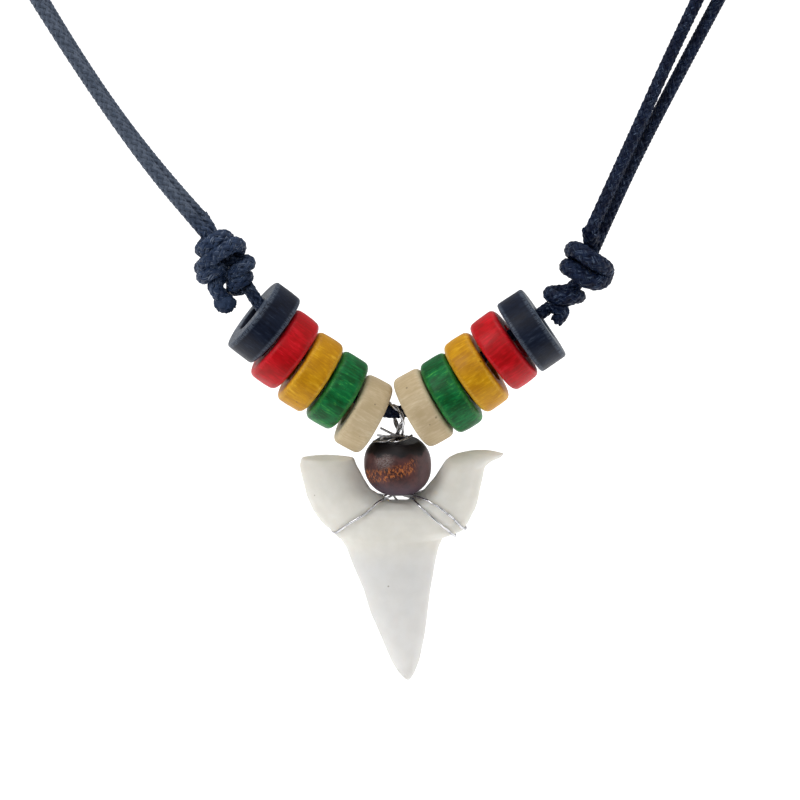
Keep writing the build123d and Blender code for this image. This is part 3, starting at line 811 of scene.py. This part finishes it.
tooth_finish, start = new_finish("cast resin")
spot = start.node("ShaderNodeTexCoord", None, None, "Object").scaled(1000.0)
height_up = start.node("ShaderNodeSeparateXYZ", None, {0: spot}, "Z")
soft = start.grain(spot, 0.16, 2.0)
root = (height_up + soft * 3.0).between(-165.0, -160.5)
clouds = start.grain(spot, 0.5, 3.0)
blade_colour = start.mix(clouds.between(0.3, 0.7), (0.645, 0.640, 0.625), (0.675, 0.672, 0.660))
root_colour = start.mix(clouds.between(0.3, 0.7), (0.715, 0.70, 0.645), (0.765, 0.75, 0.70))
colour = start.mix(root, blade_colour, root_colour)
# the tip is a little darker, or it would vanish into the pale floor's light
colour = start.mix(height_up.between(-182.2, -179.0, 0.18, 0.0), colour, (0.0, 0.0, 0.0))
pinprick = start.specks(spot, 0.30).between(0.022, 0.045, 0.75, 0.0)
colour = start.mix(pinprick, colour, (0.20, 0.17, 0.12))
scratches = start.grain(start.vector("MULTIPLY", spot, (1.0, 1.0, 0.4)), 3.0, 3.0)
bump = start.node("ShaderNodeBump", None, {"Strength": 0.10, "Distance": 0.00010, "Height": scratches})
surface(
    start,
    {
        "Base Color": colour,
        "Roughness": root.between(0.0, 1.0, 0.34, 0.46),
        "Specular IOR Level": 0.25,
        "Subsurface Weight": 0.60,
        "Subsurface Radius": (1.0, 0.9, 0.8),
        "Subsurface Scale": 0.0026,
        "Normal": bump,
    },
)
worn_mesh.materials.append(tooth_finish)
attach(tooth, "pendant")
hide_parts("shark_tooth")


# The pendant wire: bright drawn steel, doubled and twisted over the bead thread, wound once
# round its own foot on the ball, led through the ball and bent round the tooth's shoulders.

WIRE = 0.00032

wire_finish, start = new_finish("drawn steel")
spot = start.node("ShaderNodeTexCoord", None, None, "Object").scaled(1000.0)
tarnish = start.grain(spot, 0.9, 2.0)
surface(
    start,
    {
        "Base Color": start.mix(tarnish.between(0.50, 0.72), (0.62, 0.62, 0.64), (0.24, 0.24, 0.26)),
        "Metallic": 1.0,
        "Roughness": tarnish.between(0.3, 0.7, 0.18, 0.34),
    },
)
SINGLE_WIRE = {
    "Reach": 0.0,
    "Lift": 0.0,
    "Width": WIRE,
    "Thickness": WIRE,
    "Lay": 1.0,
    "Step": 0.00012,
    "Core": WIRE * 0.2,
    "Strands": 1,
    "Ways": 1,
    "Sides": 12,
}
# the doubled and twisted loop over the thread, down to the ball and into its hole
twist_run = [
    (0.2, 0.7, -2.9), (-0.2, 1.15, -1.6), (-0.6, 1.25, -0.2), (-0.95, 0.75, 0.80),
    (-0.80, -0.25, 1.08), (-0.20, -0.85, 0.86), (0.45, -1.20, 0.28), (0.72, -1.25, -0.45),
    (0.55, -1.05, -1.35), (0.20, -0.75, -2.30), (0.0, -0.4, -3.1), (0.0, -0.1, -4.0),
    (0.0, 0.0, -5.0),
]
wire_runs = [
    # a third strand beside the loop
    [(0.62, -1.42, -0.2), (0.92, -1.30, -1.1), (0.70, -1.05, -1.9), (0.85, -0.9, -2.5), (0.45, -0.6, -3.2)],
    # the upper loose end, wound once round the foot of the loop on the ball
    [(-2.16, -1.2, -1.83), (-1.30, -1.1, -2.30), (-0.44, -1.0, -2.77), (0.45, -0.95, -3.05),
     (1.05, -0.2, -3.2), (0.8, 0.9, -3.35), (-0.4, 1.3, -3.5), (-1.6, 0.8, -3.6),
     (-2.2, -0.4, -3.62), (-1.5, -1.5, -3.60), (-0.4, -1.95, -3.55), (0.5, -1.75, -3.45),
     (1.3, -1.2, -3.25), (1.95, -0.5, -3.0)],
    # the lower loose end
    [(-2.60, -1.6, -2.66), (-1.6, -1.55, -2.85), (-0.65, -1.3, -3.01), (0.3, -0.8, -3.1), (0.6, 0.2, -3.2)],
    # the end that lies over the ball's shoulder
    [(-3.05, -0.5, -3.86), (-2.5, -1.2, -3.62), (-1.6, -1.75, -3.50), (-0.9, -1.9, -3.35),
     (-0.3, -1.3, -3.2)],
]
tooth_tree = BVHTree.FromObject(tooth, bpy.context.evaluated_depsgraph_get())


# how far a wire's middle lies off the tooth
WIRE_LIFT = WIRE * 0.55


def on_front(x, up):
    """Where a wire is seen on the tooth's front, with up as the camera sees it."""
    found = tooth_tree.ray_cast(near_front(x, 0, up) + TOWARDS_CAMERA * 0.03, -TOWARDS_CAMERA)
    if found[0] is None:
        return near_front(x, -1.0, up + math.tan(VIEW_DOWN))
    return found[0] + found[1] * WIRE_LIFT


def behind(point):
    """The place behind a point on the tooth's front."""
    found = tooth_tree.ray_cast(Vector((point.x, FRONT.y + 0.02, point.z)), Vector((0, -1, 0)))
    if found[0] is None:
        return Vector((point.x, FRONT.y * 2 - point.y, point.z))
    return found[0] + found[1] * WIRE_LIFT


# each shoulder wire: its corners on the front as the camera sees them, and its bend round the
# edge, as (x, up) in millimetres from the thread's lowest point
shoulder_runs = [
    ([(-0.91, -11.43), (-2.73, -12.37), (-4.16, -13.71), (-6.36, -15.06), (-7.97, -16.30)], (-8.62, -16.1)),
    ([(1.82, -11.64), (4.00, -13.60), (5.70, -15.14), (7.20, -16.45)], (7.75, -17.0)),
    ([(2.21, -11.43), (4.03, -11.97), (5.45, -12.77), (7.27, -14.25), (8.44, -15.60)], (9.15, -15.9)),
]
STEPS_BETWEEN_CORNERS = 5
for corners, bend in shoulder_runs:
    side = 1 if bend[0] > 0 else -1
    front = []
    for (x0, up0), (x1, up1) in zip(corners, corners[1:]):
        for step in range(STEPS_BETWEEN_CORNERS):
            share = step / STEPS_BETWEEN_CORNERS
            front.append(on_front(x0 + (x1 - x0) * share, up0 + (up1 - up0) * share))
    front.append(on_front(*corners[-1]))
    wire_runs.append(
        [near_front(side * 0.15, -0.2, -10.3), near_front(side * 0.5, -0.75, -11.0)]
        + front
        + [near_front(bend[0], 0.0, bend[1])]
        + [behind(point) for point in reversed(front)]
        + [near_front(side * 0.5, 0.75, -11.0), near_front(side * 0.15, 0.2, -10.3)]
    )
# the short end under the ball
wire_runs.append([near_front(-0.5, -0.3, -10.5), on_front(-0.52, -11.43), on_front(0.0, -12.03)])

wire_pieces = []
for number, run in enumerate(wire_runs):
    points = [point if isinstance(point, Vector) else near_front(*point) for point in run]
    line = smooth_line(points, f"wire_route_{number}")
    wire_pieces.append(laid_cord(line, f"wire_{number}", wire_finish, **SINGLE_WIRE))
line = through([near_front(*point) for point in twist_run])
twisted = {**SINGLE_WIRE, "Reach": WIRE * 0.5, "Lay": 0.0030, "Strands": 2, "Core": WIRE * 0.1}
wire_pieces.append(laid_cord(line, "twisted_wire", wire_finish, **twisted))

wire_shape = bmesh.new()
for piece in wire_pieces:
    wire_shape.from_mesh(piece.data)
    bpy.data.objects.remove(piece)
wire_mesh = bpy.data.meshes.new("steel_wires")
wire_shape.to_mesh(wire_mesh)
wire_shape.free()
wire_mesh.shade_smooth()
wire_mesh.materials.append(wire_finish)
wires = add_object("steel_wires", wire_mesh)
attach(wires, "pendant")
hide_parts("pendant_wire")
